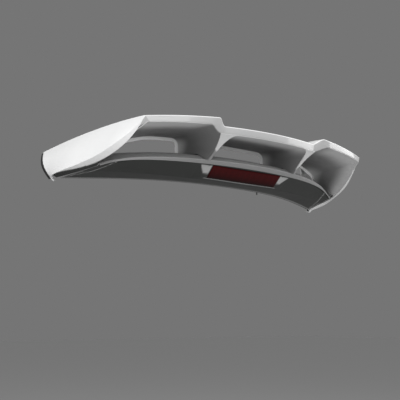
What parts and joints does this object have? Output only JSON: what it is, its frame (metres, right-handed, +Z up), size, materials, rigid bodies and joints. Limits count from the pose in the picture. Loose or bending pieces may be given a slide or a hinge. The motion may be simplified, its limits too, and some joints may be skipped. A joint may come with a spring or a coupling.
{
  "type": "roof spoiler",
  "caption": "Car roof spoiler: raised wing on pillars over air ducts, with side fins, base moulding, recessed red stop lamp, rubber seals and tailgate studs.",
  "frame": {"origin": "centre of the stud pattern, on the flat seat of the stud towers, in the car's plane of symmetry", "axes": "+X across the car to its right as seen from behind, +Y forward, +Z up"},
  "size_m": [1.2716, 0.5635, 0.199],
  "materials": {
    "paint_white": "gloss paint over plastic",
    "satin_grey": "satin moulded plastic",
    "dark_plastic": "grained moulded plastic",
    "rubber": "matt rubber",
    "steel": "zinc plated",
    "lens_red": "clear dark red acrylic",
    "lamp_black": "moulded plastic",
    "lamp_bright": "metallised plastic",
    "board": "fibreglass board",
    "led": "moulded emitter"
  },
  "bodies": {
    "root": {"wing_skin": "paint_white", "duct_left": "satin_grey", "duct_centre": "satin_grey", "duct_right": "satin_grey", "pillar_cap_left": "paint_white", "pillar_cap_right": "paint_white", "pillar_core_left": "dark_plastic", "pillar_core_right": "dark_plastic", "pillar_screws": "steel", "base_shell": "satin_grey", "base_underside": "dark_plastic", "end_cap_left": "dark_plastic", "end_cap_right": "dark_plastic", "side_seal_left": "rubber", "side_seal_right": "rubber", "front_seal": "rubber", "glass_seal": "rubber", "stud_towers": "dark_plastic", "studs": "steel", "stud_seals": "rubber", "locating_pins": "dark_plastic", "lamp_housing": "lamp_black", "lamp_reflector": "lamp_bright", "lamp_board": "board", "lamp_leds": "led", "lamp_lens": "lens_red", "lamp_gasket": "rubber", "lamp_connector": "lamp_black", "lamp_screws": "steel"}
  },
  "joints": []
}
